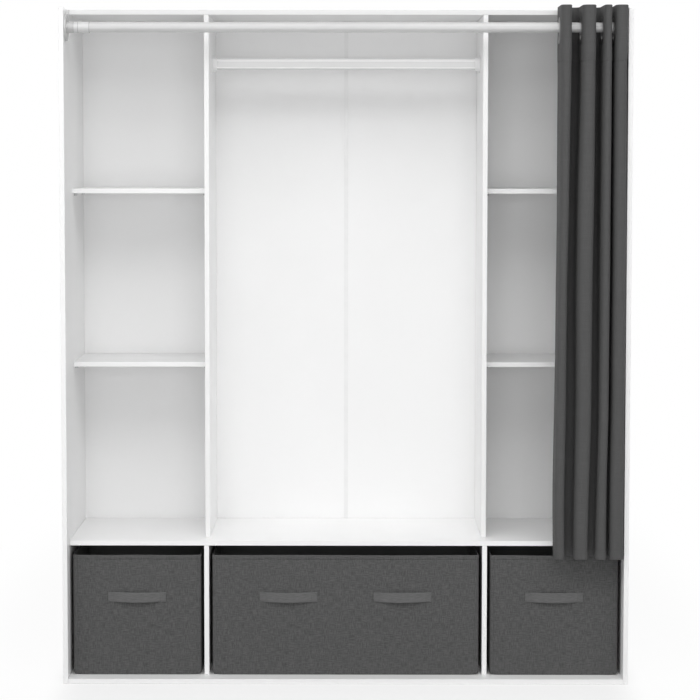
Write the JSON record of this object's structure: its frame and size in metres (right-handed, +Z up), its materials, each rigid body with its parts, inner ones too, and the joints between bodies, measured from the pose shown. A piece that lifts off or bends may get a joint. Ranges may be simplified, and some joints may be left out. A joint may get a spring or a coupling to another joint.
{
  "type": "curtain wardrobe",
  "caption": "Open flat-pack wardrobe with shelves, a hanging rail and pull-out fabric bins, closed by an eyelet curtain that runs on a front rod.",
  "frame": {"origin": "on the floor, under the middle of the carcass: half way between the side panels' front and back edges", "axes": "+X to the right seen from the front, -Y towards the person in front of it, +Z up"},
  "size_m": [1.4, 0.4113, 1.671],
  "materials": {
    "white_board": "white melamine-faced board, satin",
    "white_back": "thin white hardboard, matt",
    "white_plastic": "white moulded plastic",
    "white_steel": "white powder coat, satin",
    "screw_steel": "zinc plated",
    "eyelet_metal": "satin nickel",
    "curtain_cloth": "dark grey plain weave, matt",
    "bin_cloth": "dark grey linen look, matt",
    "bin_strap": "grey woven strap",
    "insert_board": "fabric-covered board"
  },
  "bodies": {
    "carcass": {"left_side_panel": "white_board", "right_side_panel": "white_board", "bottom_board": "white_board", "middle_board": "white_board", "top_board": "white_board", "left_partition": "white_board", "right_partition": "white_board", "left_divider": "white_board", "right_divider": "white_board", "left_shelf_1": "white_board", "left_shelf_2": "white_board", "right_shelf_1": "white_board", "right_shelf_2": "white_board", "left_back_sheet": "white_back", "right_back_sheet": "white_back", "back_joining_strip": "white_plastic", "hanging_rail": "white_steel", "left_rail_socket": "white_plastic", "right_rail_socket": "white_plastic", "curtain_rod": "white_steel", "left_rod_flange": "white_steel", "right_rod_flange": "white_steel", "left_rod_sleeve": "white_steel", "right_rod_sleeve": "white_steel", "left_bottom_front_screw": "screw_steel", "left_bottom_rear_screw": "screw_steel", "left_middle_front_screw": "screw_steel", "left_middle_rear_screw": "screw_steel", "left_top_front_screw": "screw_steel", "left_top_rear_screw": "screw_steel", "right_bottom_front_screw": "screw_steel", "right_bottom_rear_screw": "screw_steel", "right_middle_front_screw": "screw_steel", "right_middle_rear_screw": "screw_steel", "right_top_front_screw": "screw_steel", "right_top_rear_screw": "screw_steel", "left_flange_front_screw": "screw_steel", "left_flange_rear_screw": "screw_steel", "right_flange_front_screw": "screw_steel", "right_flange_rear_screw": "screw_steel"},
    "left_bin": {"left_bin_shell": "bin_cloth", "left_bin_base_insert": "insert_board", "left_bin_handle": "bin_strap"},
    "middle_bin": {"middle_bin_shell": "bin_cloth", "middle_bin_base_insert": "insert_board", "middle_bin_left_handle": "bin_strap", "middle_bin_right_handle": "bin_strap"},
    "right_bin": {"right_bin_shell": "bin_cloth", "right_bin_base_insert": "insert_board", "right_bin_handle": "bin_strap"},
    "curtain_lead": {"curtain_cloth": "curtain_cloth", "eyelet_1": "eyelet_metal"},
    "curtain_ring_2": {"eyelet_2": "eyelet_metal"},
    "curtain_ring_3": {"eyelet_3": "eyelet_metal"},
    "curtain_ring_4": {"eyelet_4": "eyelet_metal"},
    "curtain_ring_5": {"eyelet_5": "eyelet_metal"},
    "curtain_ring_6": {"eyelet_6": "eyelet_metal"},
    "curtain_ring_7": {"eyelet_7": "eyelet_metal"},
    "curtain_ring_8": {"eyelet_8": "eyelet_metal"}
  },
  "joints": [
    {"name": "left_bin_slide", "type": "slide", "parent": "carcass", "child": "left_bin", "axis": [0, -1, 0], "range_m": [0, 0.377]},
    {"name": "middle_bin_slide", "type": "slide", "parent": "carcass", "child": "middle_bin", "axis": [0, -1, 0], "range_m": [0, 0.377]},
    {"name": "right_bin_slide", "type": "slide", "parent": "carcass", "child": "right_bin", "axis": [0, -1, 0], "range_m": [0, 0.377]},
    {"name": "curtain_draw", "type": "slide", "parent": "carcass", "child": "curtain_lead", "axis": [-1, 0, 0], "range_m": [0, 0.628], "deforming": ["curtain_cloth"]},
    {"name": "curtain_ring_2_slide", "type": "slide", "parent": "curtain_lead", "child": "curtain_ring_2", "axis": [1, 0, 0], "range_m": [0, 0.088]},
    {"name": "curtain_ring_3_slide", "type": "slide", "parent": "curtain_ring_2", "child": "curtain_ring_3", "axis": [1, 0, 0], "range_m": [0, 0.085]},
    {"name": "curtain_ring_4_slide", "type": "slide", "parent": "curtain_ring_3", "child": "curtain_ring_4", "axis": [1, 0, 0], "range_m": [0, 0.084]},
    {"name": "curtain_ring_5_slide", "type": "slide", "parent": "curtain_ring_4", "child": "curtain_ring_5", "axis": [1, 0, 0], "range_m": [0, 0.09]},
    {"name": "curtain_ring_6_slide", "type": "slide", "parent": "curtain_ring_5", "child": "curtain_ring_6", "axis": [1, 0, 0], "range_m": [0, 0.098]},
    {"name": "curtain_ring_7_slide", "type": "slide", "parent": "curtain_ring_6", "child": "curtain_ring_7", "axis": [1, 0, 0], "range_m": [0, 0.1]},
    {"name": "curtain_ring_8_slide", "type": "slide", "parent": "curtain_ring_7", "child": "curtain_ring_8", "axis": [1, 0, 0], "range_m": [0, 0.091]}
  ],
  "couplings": [
    {"joint": "curtain_ring_2_slide", "follows": "curtain_draw", "ratio": 0.1389},
    {"joint": "curtain_ring_3_slide", "follows": "curtain_draw", "ratio": 0.1334},
    {"joint": "curtain_ring_4_slide", "follows": "curtain_draw", "ratio": 0.1319},
    {"joint": "curtain_ring_5_slide", "follows": "curtain_draw", "ratio": 0.1411},
    {"joint": "curtain_ring_6_slide", "follows": "curtain_draw", "ratio": 0.1537},
    {"joint": "curtain_ring_7_slide", "follows": "curtain_draw", "ratio": 0.1582},
    {"joint": "curtain_ring_8_slide", "follows": "curtain_draw", "ratio": 0.1428}
  ]
}
